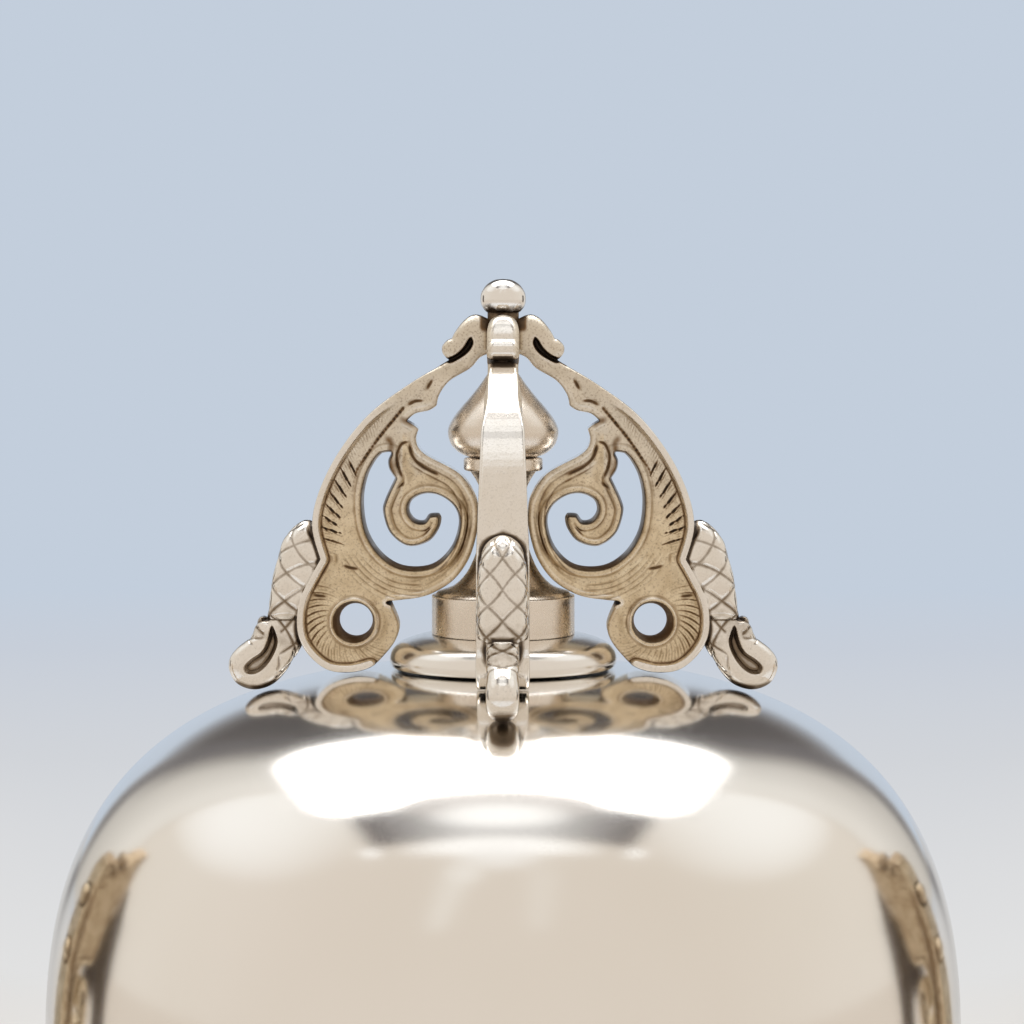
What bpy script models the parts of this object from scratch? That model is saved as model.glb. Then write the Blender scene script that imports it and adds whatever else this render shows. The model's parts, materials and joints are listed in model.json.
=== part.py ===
"""Silver sugar bowl with a lift-off lid and an openwork cage finial.

Sizes are in millimetres and become Blender's metres where a mesh is made. +Z is up, the foot
stands on z = 0, the bowl's axis is the Z axis and the two handles lie along X.
"""
import math

import bmesh
import bpy
from mathutils import Vector

MM = 0.001
GAP = 0.3                       # clearance between neighbouring solids
WELD = 1e-7                     # metres, joins points that coincide

# Bowl and lid, driving sizes
MOUTH_R = 57.4                  # outside radius where the lid meets the bowl
MOUTH_Z = 88.0                  # height of the bowl's lip
DOME_RISE = 50.6                # height of the lid's dome over its own edge
DOME_POWER = 2.8                # 2 is an ellipse, larger is squarer
SHEET = 0.8                     # thickness of the raised silver sheet
APEX_Z = MOUTH_Z + GAP + DOME_RISE
GIRDLE_R, GIRDLE_Z = 66.0, 60.0
STUD_R = 1.5
BORE_R = STUD_R + GAP           # hole round the finial's stud
WIRE_REACH = 2.4                # how far the applied wires stand out
FOOT_R = 42.0

# Facets round the axis
SEGMENTS_LARGE = 40
SEGMENTS_SMALL = 24
SEGMENTS_HARDWARE = 20

# Finial, heights over the dome's apex
HEAD_INNER_R = 2.0              # inner edge of the bracket heads, round the ball's shank
SHANK_R = HEAD_INNER_R - GAP
BALL_R, BALL_Z, BALL_TOP, BALL_BOTTOM = 2.85, 46.1, 48.4, 44.3
BRACKET_TOP_HALF, BRACKET_FOOT_HALF = 1.8, 2.75      # half thickness at the head and at the foot

# Handles, measured from the axis along X
HANDLE_HALF = 3.6
UPPER_MOUNT_Z, LOWER_MOUNT_Z = 77.0, 45.0
UPPER_FACE_X, LOWER_FACE_X = 65.2, 66.6               # flat outer faces of the mount plates
PLATE_HALF_W, PLATE_HALF_H = 6.0, 5.0

# The bowl's outside from the lip down to the middle of its floor
BOWL_PROFILE = [(MOUTH_R, MOUTH_Z), (57.7, 83.5), (60.6, 76.5), (64.6, 68.0), (GIRDLE_R, GIRDLE_Z),
                (63.9, 48.0), (56.0, 36.0), (43.5, 28.0), (30.0, 23.6), (17.0, 21.8), (0.0, 21.4)]
FOOT_PROFILE = [(13.5, 12.6), (17.0, 12.0), (22.0, 9.6), (27.0, 6.4), (33.0, 4.4), (39.0, 3.5)]

# The cast bracket, (distance from the axis, height over the apex), smooth within a stretch
HEAD = [(HEAD_INNER_R, 43.3), (3.1, 43.95), (5.1, 43.0), (6.4, 41.0)]
BILL = [(6.4, 41.0), (7.6, 40.0), (7.5, 39.1), (6.75, 38.3)]
ARM_OUTER = [(6.75, 38.3), (11.6, 35.4), (16.6, 31.7), (20.4, 27.0), (22.9, 22.0), (23.75, 17.7),
             (22.75, 13.6)]
LOBE_TOP = [(22.75, 13.6), (24.4, 10.8), (25.2, 9.3)]
TAIL_INNER_TOP = [(25.2, 9.3), (24.7, 13.5), (24.2, 16.3)]
TAIL_OUTER = [(24.2, 16.3), (25.0, 18.2), (27.5, 15.8), (28.25, 13.3), (29.1, 9.0), (29.5, 6.1)]
TOE = [(29.5, 6.1), (30.9, 5.6), (31.6, 3.7), (33.5, 2.1), (34.4, -0.2), (33.4, -2.2),
       (31.0, -2.95), (28.4, -1.95), (26.4, 0.5), (25.4, 2.9)]
LOBE_BOTTOM = [(25.4, 2.9), (24.1, 1.5), (21.9, -0.2), (19.2, -0.5), (16.6, 0.1), (14.9, 1.8),
               (13.5, 3.7), (13.05, 5.4), (14.0, 7.9)]
SCROLL_BACK = [(14.0, 8.35), (10.6, 8.9), (8.3, 9.9), (6.0, 11.4), (4.2, 14.2), (3.25, 17.8),
               (3.5, 21.0), (5.5, 24.3), (9.75, 26.7), (10.8, 28.3), (10.5, 29.8)]
LEAF_TIP = [(10.5, 29.8), (11.2, 30.3), (12.0, 30.8)]
ARM_CUSP = [(12.0, 30.8), (10.9, 31.7), (9.2, 32.1), (8.25, 32.7)]
ARM_INNER = [(8.25, 32.7), (7.9, 34.1), (6.6, 35.8), (4.1, 37.3), (2.9, 38.6), (HEAD_INNER_R, 39.2)]
EYE_OUTER = [(15.1, 26.7), (16.6, 24.6), (17.4, 20.8), (16.4, 16.0), (13.9, 13.2), (10.6, 12.5),
             (7.5, 13.7), (5.8, 16.6), (5.75, 19.2), (7.25, 21.1), (9.6, 21.7), (11.5, 20.8),
             (11.6, 19.1), (10.2, 18.25), (9.3, 19.0), (8.0, 19.2)]
EYE_INNER = [(8.0, 19.2), (7.9, 17.7), (9.4, 15.6), (11.9, 15.1), (14.1, 16.7), (15.0, 19.3),
             (13.5, 23.6)]
LEAF_LOBE = [(13.5, 23.6), (14.4, 25.4), (14.0, 26.8), (15.1, 26.7)]
VOLUTE_CENTRE, VOLUTE_R = (18.5, 5.7), 2.3

# The cast handle, (distance from the axis, height over the table). Its top follows its reflection
# in the photographed lid, the rest is a guess.
HANDLE_TOE = [(UPPER_FACE_X + GAP, 73.0), (UPPER_FACE_X + GAP, 81.2)]
HANDLE_UPRIGHT = [(UPPER_FACE_X + GAP, 81.2), (65.9, 87.0), (66.4, 93.0), (67.0, 98.5), (67.5, 102.6)]
KNOB_CENTRES_Z, KNOB_X, KNOB_R = (104.6, 114.6), 67.7, 1.9
HANDLE_ROLL = [(68.0, 117.0), (67.7, 119.6), (68.4, 122.8), (70.8, 125.6), (73.8, 126.4), (76.2, 125.2)]
HANDLE_PEARL = [(76.2, 125.2), (76.4, 128.4), (78.2, 130.9), (80.6, 131.0)]
HANDLE_LEAF = [(80.6, 131.0), (82.6, 134.4), (85.2, 138.2), (88.8, 141.0)]
HANDLE_LEAF_BACK = [(88.8, 141.0), (88.9, 137.4), (90.6, 134.0), (94.0, 132.0)]
HANDLE_SWEEP = [(94.0, 132.0), (101.4, 129.4), (108.0, 123.8), (112.2, 115.4), (113.6, 105.0),
                (112.2, 93.0), (107.8, 81.0), (101.0, 70.0), (92.6, 60.4), (83.4, 52.2)]
HANDLE_TAIL = [(83.4, 52.2), (78.6, 45.6), (72.4, 41.4), (LOWER_FACE_X + GAP, 40.8)]
HANDLE_ROOT = [(LOWER_FACE_X + GAP, 40.8), (LOWER_FACE_X + GAP, 49.2)]
HANDLE_HOLLOW = [(LOWER_FACE_X + GAP, 49.2), (71.4, 50.2), (78.2, 55.4), (86.6, 63.4), (94.0, 73.2),
                 (99.6, 84.4), (101.6, 94.0), (100.4, 103.6), (97.6, 112.0), (94.4, 119.0), (91.4, 122.6)]
HANDLE_ARCH = [(91.4, 122.6), (90.6, 118.0), (90.4, 112.4), (88.8, 107.4), (85.0, 104.6), (80.6, 104.2),
               (77.0, 103.4), (74.7, 100.8)]
CURL_CENTRE, CURL_R, CURL_TURN = (80.5, 97.0), 9.5, math.radians(400)
CURL_START, CURL_END_R, CURL_WIDTH = math.radians(147), 2.6, 3.0
HANDLE_BACK = [(72.6, 88.2), (71.2, 83.6), (70.4, 78.6), (69.4, 73.0)]


def clear_scene():
    for old in list(bpy.data.objects):
        bpy.data.objects.remove(old, do_unlink=True)


def silver(name, colour, roughness):
    """One Principled material per piece."""
    made = bpy.data.materials.new(name)
    made.use_nodes = True
    shader = made.node_tree.nodes["Principled BSDF"]
    shader.inputs["Base Color"].default_value = (*colour, 1.0)
    shader.inputs["Metallic"].default_value = 1.0
    shader.inputs["Roughness"].default_value = roughness
    return made


POLISHED = ((0.90, 0.88, 0.84), 0.08)
SATIN = ((0.80, 0.76, 0.70), 0.28)
CAST = ((0.74, 0.66, 0.52), 0.38)


def place(name, mesh, finish, location=(0, 0, 0), turn=0.0, smooth=True):
    """An object with its own material, placed in millimetres and turned about Z."""
    if smooth:
        mesh.shade_smooth()
        mesh.set_sharp_from_angle(angle=math.radians(32))
    made = bpy.data.objects.new(name, mesh)
    bpy.context.scene.collection.objects.link(made)
    if not mesh.materials:
        mesh.materials.append(None)
    made.material_slots[0].link = "OBJECT"
    made.material_slots[0].material = silver(name, *finish)
    made.location = Vector(location) * MM
    made.rotation_euler.z = turn
    return made


# ---- outlines -------------------------------------------------------------------------------

def smooth_through(points, steps):
    """Catmull-Rom curve through the points, with `steps` pieces between neighbours."""
    padded = [points[0], *points, points[-1]]
    curve = []
    for a, b, c, d in zip(padded, padded[1:], padded[2:], padded[3:]):
        for k in range(steps):
            t = k / steps
            weights = (((2 - t) * t - 1) * t, 2 + (3 * t - 5) * t * t,
                       ((4 - 3 * t) * t + 1) * t, (t - 1) * t * t)
            curve.append(tuple(sum(w * p[i] for w, p in zip(weights, (a, b, c, d))) / 2 for i in (0, 1)))
    return curve


def closed_outline(stretches, steps=2):
    """Joins stretches that share their end points. A stretch of two points stays straight."""
    outline = []
    for stretch in stretches:
        outline += smooth_through(stretch, 1 if len(stretch) == 2 else steps)
    return outline


def arc(centre, radius, start, turn, count):
    """Points on a circle, both ends included."""
    angles = [start + turn * k / (count - 1) for k in range(count)]
    return [(centre[0] + radius * math.cos(a), centre[1] + radius * math.sin(a)) for a in angles]


def curl_edge(inset, count):
    """One edge of the handle's inner curl: a spiral whose radius shrinks evenly with the turn."""
    edge = []
    for k in range(count):
        share = k / (count - 1)
        angle = CURL_START + CURL_TURN * share
        radius = CURL_R + (CURL_END_R - CURL_R) * share - inset * (1 - 0.35 * share)
        edge.append((CURL_CENTRE[0] + radius * math.cos(angle), CURL_CENTRE[1] + radius * math.sin(angle)))
    return edge


# ---- solids ---------------------------------------------------------------------------------

def lathe(profile, segments):
    """Turns a profile (radius, height) about Z. Ends on the axis close there, others join up."""
    built = bmesh.new()
    ring = [built.verts.new((r * MM, 0.0, z * MM)) for r, z in profile]
    on_axis = profile[0][0] == 0 and profile[-1][0] == 0
    edges = [built.edges.new(pair) for pair in zip(ring, ring[1:])]
    if not on_axis:
        edges.append(built.edges.new((ring[-1], ring[0])))
    bmesh.ops.spin(built, geom=ring + edges, cent=(0, 0, 0), axis=(0, 0, 1), steps=segments,
                   angle=math.tau, use_duplicate=False)
    return finish_mesh(built)


def finish_mesh(built):
    bmesh.ops.remove_doubles(built, verts=built.verts, dist=WELD)
    bmesh.ops.recalc_face_normals(built, faces=built.faces)
    mesh = bpy.data.meshes.new("solid")
    built.to_mesh(mesh)
    built.free()
    return mesh


def offset_inward(profile, distance):
    """A profile moved towards the axis side, along the average normal at each point."""
    moved = []
    for k, point in enumerate(profile):
        before, after = profile[max(k - 1, 0)], profile[min(k + 1, len(profile) - 1)]
        along = Vector((after[0] - before[0], after[1] - before[1])).normalized()
        moved.append((max(point[0] + along.y * distance, 0.0), point[1] - along.x * distance))
    return moved


def cast(outlines, half_thickness):
    """A flat casting in the XZ plane from an outer outline and its holes.

    half_thickness gives half its size along Y at each height.
    """
    curve = bpy.data.curves.new("outline", "CURVE")
    curve.dimensions = "2D"
    curve.fill_mode = "BOTH"
    curve.extrude = 1.0
    curve.render_resolution_u = 0
    for outline in outlines:
        spline = curve.splines.new("POLY")
        spline.points.add(len(outline) - 1)
        spline.use_cyclic_u = True
        for point, (across, up) in zip(spline.points, outline):
            point.co = (across, up, 0.0, 1.0)
    drawn = bpy.data.objects.new("outline", curve)
    bpy.context.scene.collection.objects.link(drawn)
    bpy.context.view_layer.update()
    flat = bpy.data.meshes.new_from_object(drawn.evaluated_get(bpy.context.evaluated_depsgraph_get()))
    bpy.data.objects.remove(drawn, do_unlink=True)
    built = bmesh.new()
    built.from_mesh(flat)
    bpy.data.meshes.remove(flat)
    bmesh.ops.remove_doubles(built, verts=built.verts, dist=1e-4)
    for vert in built.verts:
        across, up, side = vert.co
        vert.co = (across * MM, math.copysign(half_thickness(up), side) * MM, up * MM)
    return finish_mesh(built)


# ---- lid ------------------------------------------------------------------------------------

def dome_curve(radius, rise, count):
    """Squarish dome from the stud's hole to the edge, heights over the apex."""
    start = (BORE_R / radius) ** (DOME_POWER / 2)
    points = []
    for k in range(count):
        angle = math.asin(start) + (math.pi / 2 - math.asin(start)) * k / (count - 1)
        drop = rise * (1 - max(math.cos(angle), 0.0) ** (2 / DOME_POWER))
        points.append((radius * math.sin(angle) ** (2 / DOME_POWER), -drop))
    return points


def at_height(profile, base):
    return [(r, z + base) for r, z in profile]


def half_round(inner_r, low, high, reach):
    """A wire's section: flat inside, rounded outside."""
    middle, half = (low + high) / 2, (high - low) / 2
    return [(inner_r + reach * math.cos(a), middle - half * math.sin(a))
            for a in (math.radians(d) for d in (-90, -50, -20, 20, 50, 90))]


def build_lid():
    outside = dome_curve(MOUTH_R, DOME_RISE, 15)
    inside = [(r, z - SHEET) for r, z in dome_curve(MOUTH_R - SHEET, DOME_RISE - SHEET, 11)]
    place("lid_dome", lathe(at_height(outside + inside[::-1], APEX_Z), SEGMENTS_LARGE), POLISHED)

    edge_z = APEX_Z - DOME_RISE
    place("lid_rim_wire", lathe(half_round(MOUTH_R + GAP, edge_z, edge_z + 3.2, WIRE_REACH),
                                SEGMENTS_LARGE), POLISHED)
    inner_r = MOUTH_R - SHEET
    bezel = [(inner_r - GAP, edge_z + 4.5), (inner_r - GAP, edge_z + 0.6), (inner_r - 0.7, edge_z - 0.3),
             (inner_r - 0.7, edge_z - 6.2), (inner_r - 1.7, edge_z - 6.2), (inner_r - 1.7, edge_z + 4.5)]
    place("lid_bezel", lathe(bezel, SEGMENTS_LARGE), SATIN)


def build_finial_post():
    saucer = [(BORE_R, 3.8), (8.3, 3.8), (9.8, 3.6), (11.4, 3.5), (12.4, 3.3), (13.3, 2.7), (14.0, 1.9),
              (14.25, 1.2), (14.0, 0.5), (13.5, 0.25), (BORE_R, 0.25)]
    place("finial_saucer", lathe(at_height(saucer, APEX_Z), SEGMENTS_SMALL), POLISHED)
    drum = [(BORE_R, 8.9), (8.7, 8.9), (8.94, 8.6), (8.94, 4.7), (8.4, 4.1), (BORE_R, 4.1)]
    place("finial_drum", lathe(at_height(drum, APEX_Z), SEGMENTS_SMALL), SATIN)

    onion = smooth_through([(0.0, 38.2), (2.0, 36.5), (4.1, 33.7), (6.4, 30.8), (6.94, 29.1), (6.0, 27.2),
                            (4.3, 26.15)], 2)
    ring = [(4.3, 26.15), (4.94, 25.8), (4.94, 24.8), (4.1, 24.4)]
    neck = smooth_through([(4.1, 24.4), (2.95, 22.3), (2.7, 18.5), (3.3, 14.6), (4.75, 11.5), (8.2, 9.2)], 2)
    bore = [(8.2, 9.2), (BORE_R, 9.2), (BORE_R, 14.0), (0.0, 14.0)]
    baluster = onion + ring[:-1] + neck + bore
    place("finial_baluster", lathe(at_height(baluster, APEX_Z), SEGMENTS_SMALL), SATIN)

    crown = [(BALL_R * math.sin(a), BALL_Z + (BALL_TOP - BALL_Z) * math.cos(a))
             for a in (math.radians(d) for d in range(0, 91, 15))]
    under = [(BALL_R * math.cos(a), BALL_Z - (BALL_Z - BALL_BOTTOM) * math.sin(a))
             for a in (math.radians(d) for d in (15, 30, 45))]
    shank = [(SHANK_R, BALL_BOTTOM), (SHANK_R, 38.6), (0.0, 38.6)]
    crown[0] = (0.0, BALL_TOP)
    place("finial_ball", lathe(at_height(crown + under + shank, APEX_Z), SEGMENTS_SMALL), POLISHED)


def build_finial_hardware():
    washer_top = -SHEET - GAP
    nut_top = washer_top - 0.95 - GAP
    stud = [(0.0, 13.7), (STUD_R, 13.7), (STUD_R, -7.4), (0.0, -7.4)]
    place("finial_stud", lathe(at_height(stud, APEX_Z), SEGMENTS_HARDWARE), SATIN)
    washer = [(BORE_R, washer_top), (5.6, washer_top), (5.6, washer_top - 0.95), (BORE_R, washer_top - 0.95)]
    place("finial_washer", lathe(at_height(washer, APEX_Z), SEGMENTS_HARDWARE), SATIN)
    nut = [(BORE_R, nut_top), (4.1, nut_top), (4.1, nut_top - 3.3), (BORE_R, nut_top - 3.3)]
    place("finial_nut", lathe(at_height(nut, APEX_Z), 6), SATIN, smooth=False)


def bracket_half(height):
    """Half thickness grows from the head to the middle of the arm, and the toe is slimmer."""
    grown = min(max((40.0 - height) / 25.0, 0.0), 1.0)
    slimmed = min(max((6.0 - height) / 8.0, 0.0), 1.0) * 0.35
    return BRACKET_TOP_HALF + (BRACKET_FOOT_HALF - BRACKET_TOP_HALF) * grown - slimmed


def build_brackets():
    outer = closed_outline([HEAD, BILL, ARM_OUTER, LOBE_TOP, TAIL_INNER_TOP, TAIL_OUTER, TOE, LOBE_BOTTOM,
                            [LOBE_BOTTOM[-1], SCROLL_BACK[0]], SCROLL_BACK, LEAF_TIP, ARM_CUSP, ARM_INNER,
                            [ARM_INNER[-1], HEAD[0]]])
    eye = closed_outline([EYE_OUTER, EYE_INNER, LEAF_LOBE])
    volute = arc(VOLUTE_CENTRE, VOLUTE_R, 0.0, -math.tau * 15 / 16, 16)
    mesh = cast([outer, eye, volute], bracket_half)
    for name, turn in (("right", 0), ("back", 90), ("left", 180), ("front", 270)):
        place("finial_bracket_" + name, mesh, CAST, (0, 0, APEX_Z), math.radians(turn))


# ---- bowl -----------------------------------------------------------------------------------

def bowl_radius(height):
    """Outside radius of the bowl at a height, on the stretch above its widest belly."""
    curve = smooth_through(BOWL_PROFILE, 6) + [BOWL_PROFILE[-1]]
    for (r1, z1), (r2, z2) in zip(curve, curve[1:]):
        if z2 <= height <= z1:
            return r1 + (r2 - r1) * (z1 - height) / (z1 - z2)
    return 0.0


def build_bowl():
    outside = smooth_through(BOWL_PROFILE, 2) + [BOWL_PROFILE[-1]]
    inside = offset_inward(smooth_through(BOWL_PROFILE, 1) + [BOWL_PROFILE[-1]], SHEET)
    inside[0] = (MOUTH_R - SHEET, MOUTH_Z)
    inside[-1] = (0.0, BOWL_PROFILE[-1][1] + SHEET)
    profile = outside[::-1] + inside
    place("bowl_shell", lathe(profile, SEGMENTS_LARGE), POLISHED)
    place("bowl_rim_wire", lathe(half_round(MOUTH_R + 0.5, MOUTH_Z - 3.4, MOUTH_Z, WIRE_REACH - 0.2),
                                 SEGMENTS_LARGE), POLISHED)


def build_foot():
    stem = smooth_through([(15.5, 21.1), (12.6, 19.6), (10.4, 17.0), (11.2, 14.6), (14.0, 12.9)], 2)
    stem += [(14.0, 12.9), (0.0, 12.9)]
    place("foot_stem", lathe([(0.0, 21.1)] + stem, SEGMENTS_SMALL), SATIN)
    top = smooth_through(FOOT_PROFILE, 2) + [FOOT_PROFILE[-1]]
    under = offset_inward(FOOT_PROFILE, SHEET)
    place("foot_base", lathe(top + under[::-1], SEGMENTS_LARGE), POLISHED)
    rim = [(36.6, 0.0), (36.6, 1.9), (39.3, 1.9), (39.6, 3.1), (40.6, 3.0), (41.6, 2.3), (FOOT_R, 1.3),
           (41.6, 0.4), (40.8, 0.0)]
    place("foot_rim_wire", lathe(rim, SEGMENTS_LARGE), POLISHED)


def mount_plate(name, side, height, face_x):
    """An oval plate whose back follows the bowl and whose face is flat."""
    built = bmesh.new()
    rings = []
    for face, share in ((True, 0.0), (True, 0.82), (False, 1.0), (False, 0.5), (False, 0.0)):
        ring = []
        for k in range(SEGMENTS_HARDWARE if share else 1):
            angle = math.tau * k / SEGMENTS_HARDWARE
            across = PLATE_HALF_W * share * math.cos(angle)
            up = height + PLATE_HALF_H * share * math.sin(angle)
            out = face_x if face else math.sqrt(bowl_radius(up) ** 2 - across ** 2) + GAP
            ring.append(built.verts.new((side * out * MM, across * MM, up * MM)))
        rings.append(ring)
    for inner, outer in zip(rings, rings[1:]):
        for k in range(SEGMENTS_HARDWARE):
            corners = [inner[k % len(inner)], outer[k % len(outer)], outer[(k + 1) % len(outer)],
                       inner[(k + 1) % len(inner)]]
            built.faces.new(list(dict.fromkeys(corners)))
    place(name, finish_mesh(built), POLISHED)


def knobs():
    """The two beads on the side of the upright that faces the lid, bottom one first."""
    edge = []
    for height in KNOB_CENTRES_Z:
        edge += arc((KNOB_X, height), KNOB_R, math.radians(255), -math.radians(150), 6)
    return edge


def build_handles():
    outer = closed_outline([HANDLE_TOE, HANDLE_UPRIGHT]) + knobs()
    outer += closed_outline([HANDLE_ROLL, HANDLE_PEARL, HANDLE_LEAF, HANDLE_LEAF_BACK, HANDLE_SWEEP,
                             HANDLE_TAIL, HANDLE_ROOT, HANDLE_HOLLOW, HANDLE_ARCH])
    outer += curl_edge(CURL_WIDTH, 20)[1:] + curl_edge(0.0, 24)[::-1][:-5]
    outer += smooth_through(HANDLE_BACK, 2) + [HANDLE_BACK[-1]]
    mesh = cast([outer], lambda height: HANDLE_HALF)
    for name, side in (("right", 1), ("left", -1)):
        place("handle_" + name, mesh, CAST, turn=0.0 if side > 0 else math.pi)
        mount_plate("handle_plate_upper_" + name, side, UPPER_MOUNT_Z, UPPER_FACE_X)
        mount_plate("handle_plate_lower_" + name, side, LOWER_MOUNT_Z, LOWER_FACE_X)


clear_scene()
build_lid()
build_finial_post()
build_finial_hardware()
build_brackets()
build_bowl()
build_foot()
build_handles()
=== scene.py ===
"""Looks of the silver sugar bowl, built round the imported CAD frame.

Lengths inside the ornament code are millimetres; meshes are written in metres.
"""
import json
import math

import bpy
import numpy as np
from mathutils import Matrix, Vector

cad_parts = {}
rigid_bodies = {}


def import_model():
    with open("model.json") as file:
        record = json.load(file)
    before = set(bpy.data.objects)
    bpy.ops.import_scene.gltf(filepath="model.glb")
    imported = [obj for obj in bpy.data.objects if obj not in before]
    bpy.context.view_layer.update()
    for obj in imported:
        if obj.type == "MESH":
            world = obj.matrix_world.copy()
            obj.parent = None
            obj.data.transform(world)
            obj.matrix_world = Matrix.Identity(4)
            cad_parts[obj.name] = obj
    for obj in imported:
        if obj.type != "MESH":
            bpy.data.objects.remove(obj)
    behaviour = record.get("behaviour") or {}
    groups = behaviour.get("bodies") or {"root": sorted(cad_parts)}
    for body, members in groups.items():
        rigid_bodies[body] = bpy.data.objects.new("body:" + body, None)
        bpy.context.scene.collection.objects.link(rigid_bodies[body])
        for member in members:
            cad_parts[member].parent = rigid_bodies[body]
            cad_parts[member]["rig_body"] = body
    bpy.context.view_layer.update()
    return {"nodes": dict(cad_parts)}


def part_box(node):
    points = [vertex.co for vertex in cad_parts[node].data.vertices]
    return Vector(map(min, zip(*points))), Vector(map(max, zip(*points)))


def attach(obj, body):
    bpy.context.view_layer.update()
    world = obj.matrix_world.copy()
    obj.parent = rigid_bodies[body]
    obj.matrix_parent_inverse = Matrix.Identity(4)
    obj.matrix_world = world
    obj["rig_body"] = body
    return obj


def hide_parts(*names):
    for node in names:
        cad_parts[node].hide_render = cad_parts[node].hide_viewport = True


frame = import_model()

MM = 0.001
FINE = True
LATHE_STEPS = 256 if FINE else 128
CURVE_STEPS = 6

# Frame sizes, in millimetres
DOME_LOW, DOME_HIGH = (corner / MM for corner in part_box("lid_dome"))
APEX = DOME_HIGH.z
DOME_R = DOME_HIGH.x
DOME_RISE = DOME_HIGH.z - DOME_LOW.z
DOME_POWER = 2.8
SHEET = 0.8
STUD_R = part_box("finial_stud")[1].x / MM
BORE_R = STUD_R + 0.3
WEAR_DEPTH = 0.6


# ---- curves ----

def smooth_through(points, steps=CURVE_STEPS):
    """Catmull-Rom curve through the points, last point included."""
    points = np.asarray(points, float)
    padded = np.vstack([points[:1], points, points[-1:]])
    t = np.arange(steps)[:, None] / steps
    parts = []
    for a, b, c, d in zip(padded, padded[1:], padded[2:], padded[3:]):
        parts.append(((2 - t) * t * t - t) * a / 2 + (2 + (3 * t - 5) * t * t) * b / 2
                     + ((4 - 3 * t) * t + 1) * t * c / 2 + (t - 1) * t * t * d / 2)
    return np.vstack(parts + [points[-1:]])


def joined(stretches):
    """One polyline from stretches that share their end points; two points make a straight stretch."""
    curves = [smooth_through(s, 1 if len(s) == 2 else CURVE_STEPS)[:-1] for s in stretches]
    return np.vstack(curves + [np.asarray(stretches[-1][-1:], float)])


def nearest(line, across, up):
    """For each grid point: distance to a polyline, arc length there, and the side (+1 left, -1 right)."""
    best = np.full(across.shape, 1e9)
    arc = np.zeros(across.shape)
    side = np.ones(across.shape)
    run = 0.0
    for (a0, a1), (b0, b1) in zip(line, line[1:]):
        e0, e1 = b0 - a0, b1 - a1
        length = math.hypot(e0, e1)
        if length < 1e-6:
            continue
        t = np.clip(((across - a0) * e0 + (up - a1) * e1) / length ** 2, 0, 1)
        d0, d1 = across - a0 - t * e0, up - a1 - t * e1
        square = d0 * d0 + d1 * d1
        closer = square < best
        best = np.where(closer, square, best)
        arc = np.where(closer, run + t * length, arc)
        side = np.where(closer, np.where(e0 * d1 - e1 * d0 >= 0, 1.0, -1.0), side)
        run += length
    return np.sqrt(best), arc, side


def signed(outline, across, up):
    """Signed distance to a closed outline, negative inside."""
    distance = nearest(outline, across, up)[0]
    inside = np.zeros(across.shape, bool)
    for (a0, a1), (b0, b1) in zip(outline, np.roll(outline, -1, 0)):
        if a1 == b1:
            continue
        crosses = (a1 > up) != (b1 > up)
        inside ^= crosses & (across < (b0 - a0) * (up - a1) / (b1 - a1) + a0)
    return np.where(inside, -distance, distance)


def disc(centre, radius, across, up):
    """Signed distance to a circle, negative inside."""
    return np.hypot(across - centre[0], up - centre[1]) - radius


# ---- solids from distance fields ----

def ramp(value, low, high):
    """0 at low, 1 at high, smooth between; low may be the larger number."""
    t = np.clip((value - low) / (high - low), 0, 1)
    return t * t * (3 - 2 * t)


def groove(offset, width):
    """1 on the groove's line, falling to 0 at its sides."""
    return np.exp(-(offset / width) ** 2)


def comb(position, pitch):
    """Distance to the nearest of a row of lines, `pitch` apart."""
    return np.abs((position / pitch + 0.5) % 1.0 - 0.5) * pitch


def rounded_max(a, b, radius):
    """Intersection of two solids whose shared edge has a radius."""
    p, q = np.maximum(a + radius, 0), np.maximum(b + radius, 0)
    return np.sqrt(p * p + q * q) - radius + np.minimum(np.maximum(a + radius, b + radius), 0)


def blended_min(a, b, radius):
    """Union of two solids with a small fillet."""
    h = np.clip(0.5 + 0.5 * (b - a) / radius, 0, 1)
    return b + (a - b) * h - radius * h * (1 - h)


class Grid:
    """Sample positions for a casting: across and up in its plane, side through its thickness."""

    def __init__(self, low, high, half, step, side_step):
        self.low = np.array([low[0], -half, low[1]], float)
        self.step = np.array([step, side_step, step])
        count = np.ceil((np.array([high[0], half, high[1]]) - self.low) / self.step).astype(int) + 1
        self.half_count = int(math.ceil(half / side_step))
        self.low[1] = -self.half_count * side_step
        self.across, self.up = np.meshgrid(self.low[0] + self.step[0] * np.arange(count[0]),
                                           self.low[2] + self.step[2] * np.arange(count[2]), indexing="ij")
        self.sides = side_step * np.arange(self.half_count + 1)

    def stack(self, slice_at):
        """The full field from a function of the distance to the middle plane."""
        half = np.stack([slice_at(side) for side in self.sides], 1).astype(np.float32)
        return np.concatenate([half[:, :0:-1], half], 1)


CORNERS = [(i, j, k) for i in (0, 1) for j in (0, 1) for k in (0, 1)]


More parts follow.
